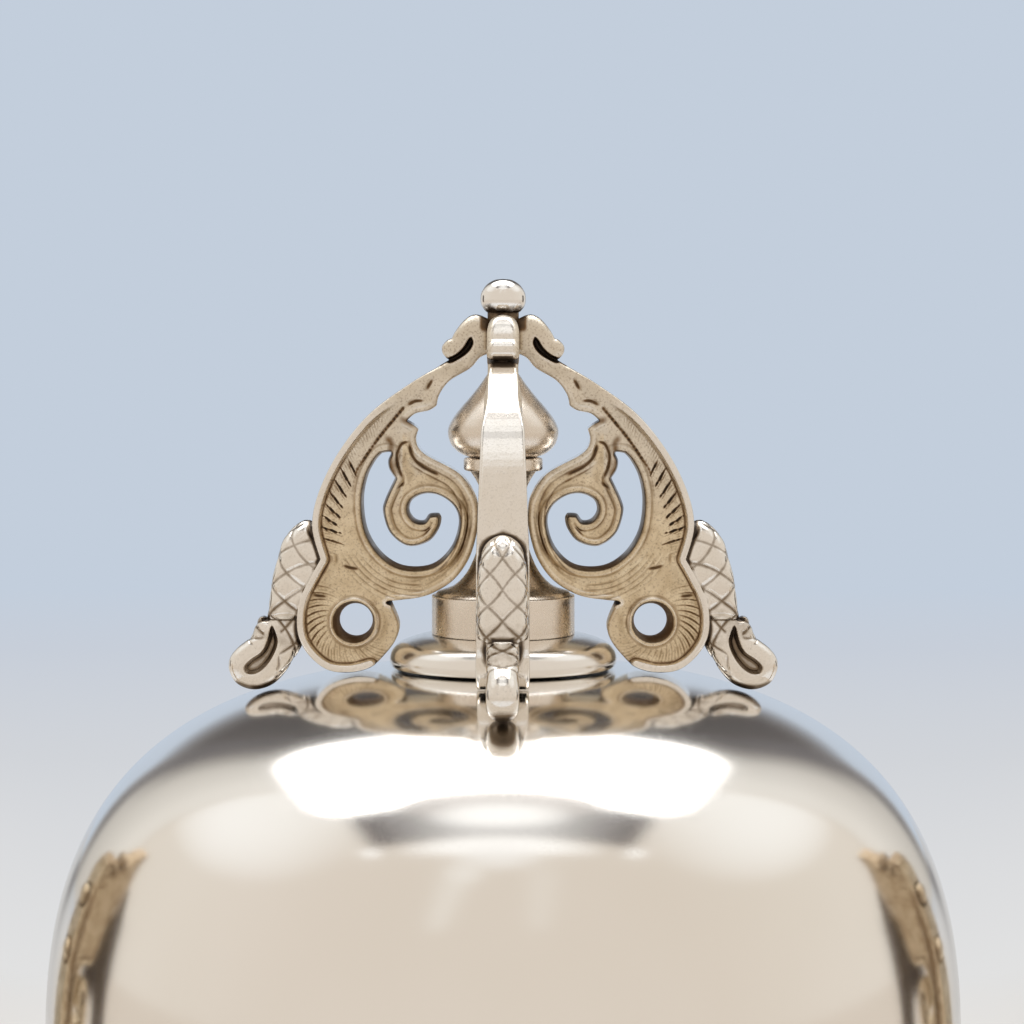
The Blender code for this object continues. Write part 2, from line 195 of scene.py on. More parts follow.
def surface_nets(field, low, step):
    """Quads round the zero level of a sampled field: one vertex in each cell the surface crosses."""
    inside = field < 0
    cells = np.zeros(tuple(n - 1 for n in field.shape), np.uint8)
    shape = cells.shape
    for i, j, k in CORNERS:
        cells += inside[i:i + shape[0], j:j + shape[1], k:k + shape[2]]
    where = np.argwhere((cells > 0) & (cells < 8))
    values = np.stack([field[tuple((where + corner).T)] for corner in CORNERS], 1)
    total = np.zeros((len(where), 3))
    hits = np.zeros(len(where))
    for a, ca in enumerate(CORNERS):
        for b, cb in enumerate(CORNERS):
            if b > a and sum(abs(p - q) for p, q in zip(ca, cb)) == 1:
                fa, fb = values[:, a], values[:, b]
                crossed = (fa < 0) != (fb < 0)
                t = np.where(crossed, fa / np.where(crossed, fa - fb, 1), 0)[:, None]
                total += np.where(crossed[:, None], np.array(ca) + t * (np.array(cb) - np.array(ca)), 0)
                hits += crossed
    points = low + step * (where + total / hits[:, None])
    index = np.full(shape, -1, np.int64)
    index[tuple(where.T)] = np.arange(len(where))
    quads = []
    for axis in range(3):
        u, v = (axis + 1) % 3, (axis + 2) % 3
        first = [slice(1, -1)] * 3
        first[axis] = slice(0, -1)
        second = list(first)
        second[axis] = slice(1, None)
        a, b = inside[tuple(first)], inside[tuple(second)]
        at = np.argwhere(a != b)
        flips = a[tuple(at.T)]
        base = at + 1
        base[:, axis] -= 1
        ring = []
        for du, dv in ((-1, -1), (0, -1), (0, 0), (-1, 0)):
            cell = base.copy()
            cell[:, u] += du
            cell[:, v] += dv
            ring.append(index[tuple(cell.T)])
        quad = np.stack(ring, 1)
        quad[~flips] = quad[~flips][:, ::-1]
        quads.append(quad)
    return points, np.vstack(quads)


def sampled(field, low, step, points):
    """Trilinear value of the field at each point."""
    place = (points - low) / step
    base = np.clip(np.floor(place).astype(int), 0, np.array(field.shape) - 2)
    part = np.clip(place - base, 0, 1)
    value = np.zeros(len(points))
    for corner in CORNERS:
        share = np.abs(1 - np.array(corner) - part).prod(1)
        value += share * field[tuple((base + corner).T)]
    return value


def slope(value, points, reach):
    """Unit gradient at each point of a field given as a function."""
    parts = []
    for axis in range(3):
        shift = np.zeros(3)
        shift[axis] = reach
        parts.append(value(points + shift) - value(points - shift))
    normal = np.stack(parts, 1)
    return normal / np.maximum(np.linalg.norm(normal, axis=1, keepdims=True), 1e-9)


def mesh_from(name, points, faces):
    """A mesh from arrays: points in millimetres, faces all quads."""
    mesh = bpy.data.meshes.new(name)
    mesh.vertices.add(len(points))
    mesh.vertices.foreach_set("co", (points * MM).astype(np.float32).ravel())
    mesh.loops.add(faces.size)
    mesh.loops.foreach_set("vertex_index", faces.astype(np.int32).ravel())
    mesh.polygons.add(len(faces))
    mesh.polygons.foreach_set("loop_start", np.arange(0, faces.size, faces.shape[1], dtype=np.int32))
    mesh.update(calc_edges=True)
    mesh.shade_smooth()
    return mesh


def add_channel(mesh, name, values):
    channel = mesh.attributes.new(name, "FLOAT", "POINT")
    channel.data.foreach_set("value", values.astype(np.float32))


def casting_mesh(name, grid, design):
    """Mesh of a casting with how much patina and painted shade, how shiny and how golden each point is."""
    field = grid.stack(design(grid.across, grid.up).slice_at)
    points, quads = surface_nets(field, grid.low, grid.step)
    reach = float(grid.step[0])

    def value(at):
        return sampled(field, grid.low, grid.step, at)

    def clearance(distance):
        return np.clip(1 - value(points + normal * distance) / distance, 0, 1)

    for _ in range(2):
        normal = slope(value, points, reach)
        points = points - normal * np.clip(value(points), -0.5, 0.5)[:, None] * 0.8
    normal = slope(value, points, reach)
    patina_dirt_and_shade, shine, warm = design(points[:, 0], points[:, 2]).surface(points, normal)
    # Patina and painted shade in crevices: darker where metal lies just ahead of the surface.
    cavity_patina_and_shade = np.clip(1.3 * clearance(0.35) + 0.9 * clearance(0.9), 0, 1)
    worn = np.clip((value(points - normal * WEAR_DEPTH) + WEAR_DEPTH) / WEAR_DEPTH, 0, 1)
    mesh = mesh_from(name, points, quads)
    add_channel(mesh, "cavity_patina_and_shade", np.maximum(cavity_patina_and_shade, patina_dirt_and_shade))
    add_channel(mesh, "shine", np.maximum(0.6 * ramp(worn, 0.25, 0.7), shine))
    add_channel(mesh, "warm", warm)
    return mesh


# ---- the finial's cast bracket ----

HEAD_INNER_R = 1.6
HEAD = [(HEAD_INNER_R, 43.3), (3.1, 43.95), (4.1, 43.8), (5.1, 43.0), (6.0, 41.8), (6.4, 41.0)]
BILL = [(6.4, 41.0), (7.0, 40.75), (7.6, 40.0), (7.5, 39.1), (6.75, 38.3)]
ARM_OUTER = [(6.75, 38.3), (7.9, 37.6), (11.6, 35.4), (16.6, 31.7), (20.4, 27.0), (22.9, 22.0),
             (23.75, 17.7), (22.75, 13.6)]
LOBE_OUTER = [(22.75, 13.6), (24.1, 11.2), (25.3, 8.7), (25.7, 6.2), (25.4, 3.7), (24.1, 1.5),
              (21.9, -0.2), (19.2, -0.55), (16.6, 0.05), (14.9, 1.5), (13.4, 3.5), (13.0, 5.4), (14.0, 7.9)]
NOTCH = [(14.0, 7.9), (14.6, 8.15), (14.0, 8.4)]
SCROLL_BACK = [(14.0, 8.4), (10.6, 8.8), (8.3, 9.6), (6.0, 11.2), (4.2, 13.8), (3.25, 17.0),
               (3.1, 19.5), (3.6, 21.6), (5.5, 24.3), (9.75, 26.7), (10.8, 28.3), (10.5, 29.8)]
LEAF_TIP = [(10.5, 29.8), (11.0, 30.2), (12.0, 30.8)]
ARM_CUSP = [(12.0, 30.8), (10.9, 31.7), (9.2, 32.1), (8.25, 32.7)]
ARM_INNER = [(8.25, 32.7), (7.9, 34.1), (6.6, 35.8), (4.1, 37.3), (2.9, 38.6), (HEAD_INNER_R, 39.2)]
EYE_OUTER = [(15.1, 26.7), (15.9, 25.8), (16.9, 23.8), (17.4, 20.8), (16.9, 17.1), (15.1, 14.2),
             (12.4, 12.6), (8.9, 12.8), (6.5, 15.0), (5.55, 18.0), (6.1, 20.0), (7.8, 21.35),
             (9.7, 21.65), (11.3, 20.9), (11.7, 19.6), (11.0, 18.5), (9.9, 18.3), (9.2, 19.1), (8.0, 19.2)]
EYE_INNER = [(8.0, 19.2), (7.7, 18.5), (8.1, 17.1), (9.4, 15.6), (11.9, 15.1), (14.1, 16.7),
             (15.0, 19.3), (14.75, 20.9), (13.5, 23.6)]
LEAF_LOBE = [(13.5, 23.6), (14.2, 24.7), (14.35, 25.8), (14.0, 26.8), (15.1, 26.7)]
TAIL = [(21.8, 13.0), (22.5, 16.6), (24.3, 18.4), (26.0, 17.6), (27.5, 15.8), (28.25, 13.3), (28.9, 10.8),
        (29.15, 8.6), (29.5, 6.1)]
TOE = [(29.5, 6.1), (30.4, 6.2), (31.0, 5.2), (31.6, 3.7), (33.3, 2.3), (34.25, 1.0), (34.35, -0.5),
       (33.5, -2.1), (31.9, -2.9), (30.2, -2.85), (28.4, -1.95), (26.6, 0.2), (24.8, 3.4), (23.4, 7.5),
       (21.8, 13.0)]
TAIL_LINE = [(24.3, 18.4), (25.7, 15.6), (26.7, 12.0), (27.0, 8.0), (27.2, 4.0), (28.6, 0.6), (31.5, -1.6)]
TOE_RECESS = [(28.9, 5.5), (29.6, 3.1), (30.3, 1.9), (31.6, 1.0), (32.4, 0.1), (32.1, -0.8), (31.1, -0.9),
              (30.0, -0.3), (28.8, 1.2), (28.1, 3.3), (28.9, 5.5)]
HEAD_SLOT = [(3.95, 41.2), (4.35, 40.8), (4.9, 39.9), (5.8, 39.05), (7.0, 38.45), (6.7, 37.95), (5.4, 38.55),
             (4.3, 39.4), (3.75, 40.4), (3.95, 41.2)]
VOLUTE = (18.4, 5.84)
VOLUTE_R = 2.06
VOLUTE_FACE = (18.6, 5.75)
VOLUTE_FACE_R = 2.5
EYE_FLARE = 0.3
HATCH_PITCH = 1.7
VOLUTE_HATCHES = 34
ARM_GROOVE = [(12.2, 32.6), (13.95, 30.5), (15.65, 28.4), (17.3, 26.0), (18.2, 24.6), (18.6, 22.8),
              (18.8, 21.0)]
VEINS = [[(11.8, 28.2), (12.6, 27.9), (13.1, 26.9), (13.2, 26.0), (13.0, 24.9), (12.5, 23.8)],
         [(11.7, 27.9), (11.2, 26.3), (10.0, 25.1), (8.0, 24.1)],
         [(13.1, 22.4), (12.2, 23.2)],
         [(8.7, 36.0), (9.2, 35.2), (9.5, 34.6)],
         [(9.9, 33.3), (11.0, 33.2), (11.9, 32.7)],
         [(19.9, 12.8), (19.0, 12.5), (18.0, 12.35)],
         [(23.7, 9.15), (22.9, 9.0), (22.0, 8.9)]]
STAINS = [[(12.9, 31.0), (11.8, 30.7), (11.0, 30.1)],
          [(14.6, 28.9), (13.9, 27.9), (14.1, 26.2), (13.9, 25.0), (13.3, 23.6)]]


def stroke(points, across, up, width):
    """1 along an engraved line through the points, fading at its ends."""
    line = smooth_through(points)
    away, run, _ = nearest(line, across, up)
    length = np.linalg.norm(np.diff(line, axis=0), axis=1).sum()
    return groove(away, width) * ramp(np.minimum(run, length - run), -0.4, 0.6)


def bracket_relief(across, up, eye):
    """Height of the side face over its plain level, how much patina its engraving holds, and its bright rim."""
    rim, along, _ = nearest(joined([ARM_OUTER, LOBE_OUTER[:9]]), across, up)
    on_rim = ramp(up, 34.5, 30.0)
    back = nearest(joined([SCROLL_BACK, LEAF_TIP, ARM_CUSP, ARM_INNER]), across, up)[0]
    inner = np.minimum(eye - EYE_FLARE, back)
    volute = disc(VOLUTE_FACE, VOLUTE_FACE_R, across, up)
    below_head = ramp(up, 36.5, 33.5)
    outer_bead = ramp(rim, 1.3, 0.7) * on_rim
    beads = np.maximum.reduce([0.50 * outer_bead, 0.32 * ramp(inner, 1.0, 0.5) * below_head,
                               0.30 * ramp(volute, 0.8, 0.3)])
    lines = [0.62 * groove(rim - 1.15, 0.17) * on_rim * ramp(up, 29.0, 24.0),
             0.30 * groove(eye - EYE_FLARE - 0.9, 0.17) * below_head,
             0.32 * groove(volute - 0.8, 0.18)]

    band = ramp(across, 12.5, 10.5) * ramp(up, 28.0, 25.5) * ramp(back, 2.9, 2.6)
    ridges = (0.26 + 0.20 * ramp(up, 11.0, 14.0)) * groove(comb(back + 0.42, 0.84), 0.15)
    lines.append(ridges * band * ramp(back, 0.5, 0.7))
    dots = 0.8 + 0.2 * np.cos(math.tau * along / 0.62)
    arm_groove = stroke(ARM_GROOVE, across, up, 0.17) * (0.4 + 0.6 * ramp(up, 22.5, 26.5))
    lines.append(0.95 * arm_groove * dots)
    lines += [0.85 * stroke(vein, across, up, 0.20) for vein in VEINS]

    strength = ramp(rim, 0.95, 1.25) * ramp(inner, 0.75, 1.0) * ramp(volute, 0.8, 1.0)
    taper = np.sin(math.pi * np.clip((rim - 1.1) / 2.5, 0, 1))
    place = ((along - 0.75 * rim) / HATCH_PITCH + 0.5) % 1.0 * HATCH_PITCH - HATCH_PITCH / 2
    hatch = np.maximum(groove(place, 0.05 + 0.11 * taper), 0.5 * groove(place - 0.42, 0.05 + 0.04 * taper))
    down_arm = ramp(up, 26.5, 25.0) * (0.35 + 0.65 * ramp(up, 14.5, 16.5)) * ramp(up, 12.6, 13.6)
    lines.append(hatch * strength * down_arm * ramp(rim, 3.65, 3.3))
    fine = groove(comb(along - 0.62 * rim + 0.4, 0.44), 0.08) * ramp(rim, 3.0, 1.5)
    lines.append(0.36 * fine * strength * ramp(up, 33.0, 30.0) * ramp(up, 12.2, 13.6))

    angle = np.arctan2(up - VOLUTE_FACE[1], across - VOLUTE_FACE[0])
    pitch = math.tau / VOLUTE_HATCHES
    swirl, half_swirl = (comb(angle + 0.13 * volute + turn, pitch) * (volute + VOLUTE_FACE_R)
                         for turn in (0.0, pitch / 2))
    round_volute = ramp(np.sin(angle - 0.9), 0.45, 0.0) * ramp(up, 11.5, 9.5)
    depth = 0.35 + 0.35 * ramp(across, 21.0, 23.5) * ramp(up, 1.0, 4.0)
    lines.append(depth * groove(swirl, 0.12) * strength * round_volute)
    outer_part = round_volute * ramp(volute, 1.3, 1.9)
    lines.append(0.35 * groove(half_swirl, 0.09) * strength * outer_part)

    flow = groove(comb(eye - 0.25, 0.62), 0.12) * ramp(eye, 1.5, 1.9) * ramp(eye, 5.2, 4.2)
    under_eye = ramp(up, 15.5, 12.5) * ramp(across, 9.0, 11.0) * ramp(volute, 0.9, 1.3) * ramp(rim, 1.0, 1.6)
    lines.append(0.40 * flow * under_eye)
    lines = np.maximum.reduce(lines)
    dish = 0.24 * ramp(rim, 0.9, 2.6) * ramp(inner, 0.7, 2.2) * ramp(volute, 0.6, 1.9)
    return beads - 0.36 - dish - 0.34 * lines, lines, outer_bead


def tail_scales(run, turn, edge):
    """Diamond network round the tail: 1 on its creases."""
    slants = (run / 3.5 + turn / 1.5, run / 3.5 - turn / 1.5)
    creases = np.maximum(*(groove(comb(slant, 1.0) * 2.4, 0.30) for slant in slants))
    return creases * ramp(run, 0.2, 1.0) * ramp(run, 20.0, 18.5) * ramp(edge, 0.2, 0.7)


def tail_half(up):
    """Half thickness of the tail, pointed at its top, slimmer at the toe."""
    bud = np.sqrt(np.clip(1 - (np.clip(up - 11.5, 0, 6.9) / 6.9) ** 2, 0, 1))
    return np.where(up > 6.0, 1.95 + 1.05 * ramp(up, 5.2, 7.0) * bud - 0.9 * (1 - bud), 1.95)


class Bracket:
    """The cast bracket's plane maps, worked out once for a grid of positions."""

    def __init__(self, across, up):
        self.across, self.up = across, up
        outline = joined([HEAD, BILL, ARM_OUTER, LOBE_OUTER, NOTCH, SCROLL_BACK, LEAF_TIP, ARM_CUSP,
                          ARM_INNER, [ARM_INNER[-1], HEAD[0]]])
        self.body = signed(outline, across, up)
        self.eye = signed(joined([EYE_OUTER, EYE_INNER, LEAF_LOBE]), across, up)
        self.slot = signed(smooth_through(HEAD_SLOT), across, up)
        self.tail = signed(joined([TAIL, TOE]), across, up)
        self.recess = signed(smooth_through(TOE_RECESS), across, up)
        off, self.run, side = nearest(smooth_through(TAIL_LINE), across, up)
        self.outward = off * side
        self.relief, self.lines, self.bright = bracket_relief(across, up, self.eye)
        self.relief = self.relief * ramp(self.slot, -0.1, 0.3) * ramp(up, 39.5, 35.0)
        self.half = 1.8 + 0.95 * np.clip((40.0 - up) / 25.0, 0, 1) + 0.3 * ramp(up, 39.5, 35.0)
        self.half += 0.2 * ramp(up, 37.5, 39.5)
        self.half *= np.sqrt(np.clip(1 - (np.clip(up - 41.5, 0, 2.6) / 2.9) ** 2, 0, 1))
        self.edge_radius = 0.28 + 0.65 * ramp(up, 36.0, 39.0)
        self.tail_half = tail_half(up)

    def slice_at(self, depth):
        share = min(depth / 2.6, 1.2) ** 2
        centre = [m + (f - m) * share for m, f in zip(VOLUTE, VOLUTE_FACE)]
        hole = disc(centre, VOLUTE_R + (VOLUTE_FACE_R - VOLUTE_R) * share, self.across, self.up)
        walls = np.maximum(np.maximum(self.body, EYE_FLARE * share - self.eye), -hole)
        plate = rounded_max(walls, depth - self.half - self.relief, self.edge_radius)
        plate = np.maximum(plate, -np.maximum(self.slot + 0.16 * (1.8 - depth), 0.45 - depth))
        limb = rounded_max(self.tail, depth - self.tail_half, 1.75)
        limb = limb + 0.14 * self.creases(depth)
        limb = np.maximum(limb, -np.maximum(self.recess + 0.5 * (1.9 - depth), 0.9 - depth))
        return blended_min(plate, limb, 0.10)

    def creases(self, depth):
        return tail_scales(self.run, np.arctan2(depth, self.outward), self.recess)

    def surface(self, points, normal):
        """Patina in the engraving, patina and painted shade in the recesses, painted shade under the toe and
        beside the ball, brightness of rims and scales, gold tone below the arm.
        """
        across, up, run = self.across, self.up, self.run
        depth, sideways = np.abs(points[:, 1]), np.abs(normal[:, 1])
        face = ramp(sideways, 0.3, 0.7)
        on_tail = (self.tail < 0.25) & (self.body > 0.05)
        engraved = self.lines * face * ramp(up, 39.5, 36.5) * ~on_tail
        scales = 0.45 * self.creases(depth) ** 2.5 + 0.2 * ramp(run, 9.0, 13.0) * ramp(run, 17.5, 15.5)
        beside_arm = 0.5 * ramp(self.body, 0.6, 0.1) * ramp(depth, 2.8, 1.9) * on_tail
        # Patina and painted shade on the walls of the eye and volute openings, darker towards the middle of the
        # thickness.
        openings = np.minimum(self.eye, disc(VOLUTE_FACE, VOLUTE_FACE_R, across, up))
        wall = (openings < EYE_FLARE + 0.05) & (sideways < 0.75)
        stain_and_shade = (0.48 + 0.05 * (2.5 - depth)) * wall
        swirl = 0.36 + 0.26 * groove(comb(self.recess, 0.6), 0.18)
        in_toe = swirl * ramp(depth, 2.0, 1.3) * (self.recess < 0.12)
        in_slot = 0.8 * ramp(depth, 1.85, 1.4) * (self.slot < 0.1)
        under_bill = 0.9 * ramp(disc((7.1, 37.7), 0.0, across, up), 1.1, 0.5) * (1 - face)
        # Painted shade on the toe's downward-facing surfaces.
        painted_shade_under_toe = 0.8 * ramp(normal[:, 2], -0.35, -0.85) * ramp(up, 0.5, -1.2) * ramp(across, 26.5, 27.5)
        # Painted shade on the heads' inner edge, in the gap beside the ball.
        painted_shade_at_ball = 0.8 * ramp(across, 3.2, 2.5) * ramp(up, 41.5, 42.5)
        smears = [0.5 * stroke(line, across, up, 0.5) for line in STAINS]
        patina_dirt_and_shade = np.maximum.reduce([engraved, scales * on_tail, beside_arm, stain_and_shade, in_toe, in_slot, under_bill,
                                  painted_shade_under_toe, painted_shade_at_ball, *smears])
        edge = ramp(sideways, 0.65, 0.05) * np.maximum(ramp(up, 12.6, 14.6), on_tail)
        shine = np.maximum.reduce([self.bright * (self.body < 0.3), 0.95 * on_tail, edge])
        warm = ramp(up, 27.0, 16.0) * ramp(across, 27.0, 25.0)
        return patina_dirt_and_shade, shine, np.maximum(warm, 0.8 * ramp(self.eye, 3.2, 2.2) * (across < 12.5))


def build_brackets(finish):
    step = 0.13 if FINE else 0.26
    low, high, half = (0.8, -4.2), (35.6, 45.2), 4.2
    grid = Grid(low, high, half, step, step * 1.25)
    mesh = casting_mesh("cast_bracket", grid, Bracket)
    mesh.materials.append(finish)
    for name, turn in (("right", 0), ("back", 90), ("left", 180), ("front", 270)):
        piece = add_piece("bracket_" + name, mesh, "finial_bracket_" + name)
        piece.location.z = APEX * MM
        piece.rotation_euler.z = math.radians(turn)


# ---- the cast handle ----

UPPER_FACE_X, LOWER_FACE_X = (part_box(f"handle_plate_{place}_right")[1].x / MM for place in ("upper", "lower"))
SOLDER_GAP = 0.3
UPPER_X = UPPER_FACE_X + SOLDER_GAP
LOWER_X = LOWER_FACE_X + SOLDER_GAP
HANDLE_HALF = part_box("handle_right")[1].y / MM
HANDLE_FOOT = [(UPPER_X, 73.0), (UPPER_X, 81.2)]
HANDLE_UPRIGHT = [(UPPER_X, 81.2), (65.9, 87.0), (66.4, 93.0), (67.0, 98.5), (67.5, 102.6),
                  (67.9, 110.0), (68.3, 116.6)]
HANDLE_ROLL = [(68.3, 116.6), (67.7, 119.6), (68.4, 122.8), (70.8, 125.6), (73.8, 126.4), (76.4, 125.6)]
HANDLE_LEAF = [(76.4, 125.6), (79.0, 128.4), (81.4, 131.8), (84.6, 136.9), (88.8, 141.0)]
HANDLE_LEAF_BACK = [(88.8, 141.0), (88.9, 137.4), (90.6, 134.0), (94.0, 132.0)]
HANDLE_SWEEP = [(94.0, 132.0), (101.4, 129.4), (108.0, 123.8), (112.2, 115.4), (113.6, 105.0),
                (112.2, 93.0), (107.8, 81.0), (101.0, 70.0), (92.6, 60.4), (83.4, 52.2)]
HANDLE_TAIL = [(83.4, 52.2), (78.6, 45.6), (72.4, 41.4), (LOWER_X, 40.8)]
HANDLE_ROOT = [(LOWER_X, 40.8), (LOWER_X, 49.2)]
HANDLE_HOLLOW = [(LOWER_X, 49.2), (71.4, 50.2), (78.2, 55.4), (86.6, 63.4), (94.0, 73.2),
                 (99.6, 84.4), (101.6, 94.0), (100.4, 103.6), (97.6, 112.0), (94.4, 119.0), (91.4, 122.6)]
HANDLE_ARCH = [(91.4, 122.6), (90.6, 118.0), (90.4, 112.4), (88.8, 107.4), (85.0, 104.6), (80.6, 104.2),
               (77.0, 103.4), (74.7, 100.8)]
HANDLE_BACK = [(74.7, 100.8), (73.4, 95.0), (72.0, 88.2), (71.2, 83.6), (70.4, 78.6), (69.4, 73.0)]
HANDLE_MIDDLE = [(88.5, 136.5), (90.0, 130.0), (95.0, 126.5), (100.4, 122.4), (104.4, 116.0), (106.6, 108.8),
                 (107.4, 100.0), (105.8, 88.4), (101.2, 77.6), (93.8, 67.0), (84.6, 58.0), (76.4, 50.4),
                 (69.6, 45.4), (67.2, 45.0)]
CURL_CENTRE, CURL_R, CURL_END_R, CURL_WIDTH = (80.5, 97.0), 9.5, 2.6, 3.0
ROLL_CENTRE = (72.3, 121.0)
PEARLS = [((67.7, 104.6), 1.9), ((67.7, 114.6), 1.9), ((77.9, 128.9), 2.2), ((82.6, 98.2), 1.9)]


def curl_line():
    """Middle line of the handle's inner curl: its radius shrinks evenly over 400 degrees."""
    share = np.linspace(0, 1, 60)
    angle = np.radians(147 + 400 * share)
    radius = CURL_R + (CURL_END_R - CURL_R) * share - CURL_WIDTH / 2 * (1 - 0.35 * share)
    return np.stack([CURL_CENTRE[0] + radius * np.cos(angle), CURL_CENTRE[1] + radius * np.sin(angle)], 1)


class Handle:
    """The cast handle's plane maps: a flat openwork upright that turns into a rounded grip."""

    def __init__(self, across, up):
        self.across, self.up = across, up
        outline = joined([HANDLE_FOOT, HANDLE_UPRIGHT, HANDLE_ROLL, HANDLE_LEAF, HANDLE_LEAF_BACK,
                          HANDLE_SWEEP, HANDLE_TAIL, HANDLE_ROOT, HANDLE_HOLLOW, HANDLE_ARCH,
                          HANDLE_BACK, [HANDLE_BACK[-1], HANDLE_FOOT[0]]])
        off, turned, _ = nearest(curl_line(), across, up)
        curl = off - CURL_WIDTH / 2 * (1 - 0.3 * turned / 45.0)
        self.flat = blended_min(signed(outline, across, up), curl, 0.8)
        off, self.run, side = nearest(smooth_through(HANDLE_MIDDLE), across, up)
        self.offset = off * side
        self.grip = np.maximum(ramp(across, 91.0, 96.0), ramp(up, 74.0, 68.0)) * ramp(up, 141.0, 128.0)
        self.relief, self.lines = self.engraving()

    def engraving(self):
        """Height of the side face over its plain level, and how much patina its engraving holds."""
        across, up, run, inside = self.across, self.up, self.run, -self.flat
        upright = 1 - self.grip
        hatch = groove(comb(up + 0.9 * inside, 2.1), 0.17) * ramp(inside, 1.5, 1.8) * ramp(inside, 4.6, 3.4)
        roll = disc(ROLL_CENTRE, 0.0, across, up)
        turn = np.arctan2(up - ROLL_CENTRE[1], across - ROLL_CENTRE[0])
        column = groove(across - 71.6 - 0.9 * ramp(up, 92.0, 118.0), 0.45) * ramp(up, 117.0, 112.0)
        fluting = groove(comb(across - 0.35 * (up - 104.0) - 76.0, 2.6), 0.3)
        wrap = groove(comb(run + 1.1 * np.abs(self.offset), 3.1), 0.22)
        lines = np.maximum.reduce([
            groove(inside - 1.5, 0.22) * upright,
            0.9 * hatch * upright * ramp(across, 80.0, 76.0),
            groove(comb(roll - 0.42 * turn, 2.6), 0.24) * ramp(roll, 4.6, 3.8),
            column * upright * ramp(up, 76.0, 82.0),
            0.7 * fluting * upright * ramp(across, 73.5, 75.0) * ramp(up, 103.0, 106.0),
            groove(comb(self.offset, 1.7), 0.16) * ramp(run, 18.0, 10.0) * ramp(inside, 0.8, 1.3),
            wrap * self.grip * ramp(run, 40.0, 30.0) * ramp(run, 6.0, 9.0),
            0.8 * wrap * self.grip * ramp(up, 62.0, 54.0)])
        beads = 0.5 * ramp(inside, 1.5, 1.0) * upright
        return beads - 0.45 * upright - 0.34 * lines, lines

    def slice_at(self, depth):
        radius = 0.6 + 2.6 * self.grip
        plate = rounded_max(self.flat, depth - (HANDLE_HALF - 0.02) - np.minimum(self.relief, 0), radius)
        for (x, z), size in PEARLS:
            ball = np.sqrt((self.across - x) ** 2 + (self.up - z) ** 2 + (depth * 0.62) ** 2) - size
            plate = blended_min(plate, ball, 0.12)
        return plate

    def surface(self, points, normal):
        """Patina in the engraving, painted shade on the loop's side towards the lid; gold tone of the upright.
        """
        across, up = self.across, self.up
        face = ramp(np.abs(normal[:, 1]), 0.3, 0.7)
        loop = ramp(across, 92.0, 97.0) * ramp(up, 70.0, 86.0)
        # Painted shade on the loop's side that faces the lid.
        shaded = 0.9 * loop * ramp(normal[:, 0], 0.6, 0.05)
        top = 0.4 * ramp(up, 118.0, 124.0) * ramp(self.flat, -2.0, -0.4)
        strip = 0.3 * ramp(across, 75.0, 71.0) * ramp(across, 68.5, 70.5) * ramp(up, 119.0, 114.0)
        engraved = 0.95 * self.lines * np.maximum(face, self.grip)
        patina_dirt_and_shade = np.maximum.reduce([engraved, shaded, top, (0.2 + strip) * (1 - self.grip)])
        return patina_dirt_and_shade, 0.5 * self.grip, 1 - self.grip


def build_handles(finish):
    step = 0.28 if FINE else 0.5
    margin = 1.2
    grid = Grid((UPPER_FACE_X - margin, 39.4), (115.0, 142.4), HANDLE_HALF + margin, step, step)
    mesh = casting_mesh("cast_handle", grid, Handle)
    mesh.materials.append(finish)
    for name, turn in (("right", 0), ("left", 180)):
        piece = add_piece("handle_cast_" + name, mesh, "handle_" + name)
        piece.rotation_euler.z = math.radians(turn)


# ---- pieces ----

def placed(name, data):
    """A new object in the scene."""
    thing = bpy.data.objects.new(name, data)
    bpy.context.scene.collection.objects.link(thing)
    return thing


def add_piece(name, mesh, node):
    """A piece that stands in for a CAD node, on the same body."""
    piece = placed(name, mesh)
    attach(piece, frame["nodes"][node]["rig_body"])
    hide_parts(node)
    return piece


def lathed(name, profile):
    """A closed turned solid from a profile (radius, height) in millimetres."""
    profile = np.asarray(profile, float)
    angles = np.linspace(0, math.tau, LATHE_STEPS, endpoint=False)
    ring = np.stack([np.cos(angles), np.sin(angles)], 1)
    on_axis = profile[:, 0] < 1e-6
    starts = np.cumsum(np.where(on_axis, 1, LATHE_STEPS)) - np.where(on_axis, 1, LATHE_STEPS)
    points = [[[0, 0, height]] if axial else np.column_stack([ring * radius, np.full(LATHE_STEPS, height)])
              for (radius, height), axial in zip(profile, on_axis)]
    loop = list(range(len(profile)))
    pairs = list(zip(loop, loop[1:]))
    if not (on_axis[0] and on_axis[-1]):
        pairs.append((loop[-1], loop[0]))
    turn = np.arange(LATHE_STEPS)
    ahead = (turn + 1) % LATHE_STEPS

    def corner(row, place):
        return starts[row] + (0 * place if on_axis[row] else place)

    faces = []
    for a, b in pairs:
        quad = np.stack([corner(a, turn), corner(b, turn), corner(b, ahead), corner(a, ahead)], 1)
        faces += [tuple(dict.fromkeys(face)) for face in quad.tolist()]
    mesh = bpy.data.meshes.new(name)
    mesh.from_pydata(np.vstack(points) * MM, [], faces)
    mesh.shade_smooth()
    mesh.set_sharp_from_angle(angle=math.radians(40))
    return mesh


def turned_piece(name, profile, finish, node):
    mesh = lathed(name, profile)
    mesh.materials.append(finish)
    return add_piece(name, mesh, node)


def rounded_profile(points, radius, corner_steps=4):
    """A profile whose corners are eased with small arcs."""
    points = [np.array(p, float) for p in points]
    eased = [points[0]]
    for before, corner, after in zip(points, points[1:], points[2:]):
        reach_in, reach_out = before - corner, after - corner
        size = min(radius, np.linalg.norm(reach_in) * 0.45, np.linalg.norm(reach_out) * 0.45)
        start = corner + reach_in / np.linalg.norm(reach_in) * size
        end = corner + reach_out / np.linalg.norm(reach_out) * size
        for k in range(corner_steps + 1):
            t = k / corner_steps
            eased.append((1 - t) ** 2 * start + 2 * t * (1 - t) * corner + t * t * end)
    return eased + [points[-1]]


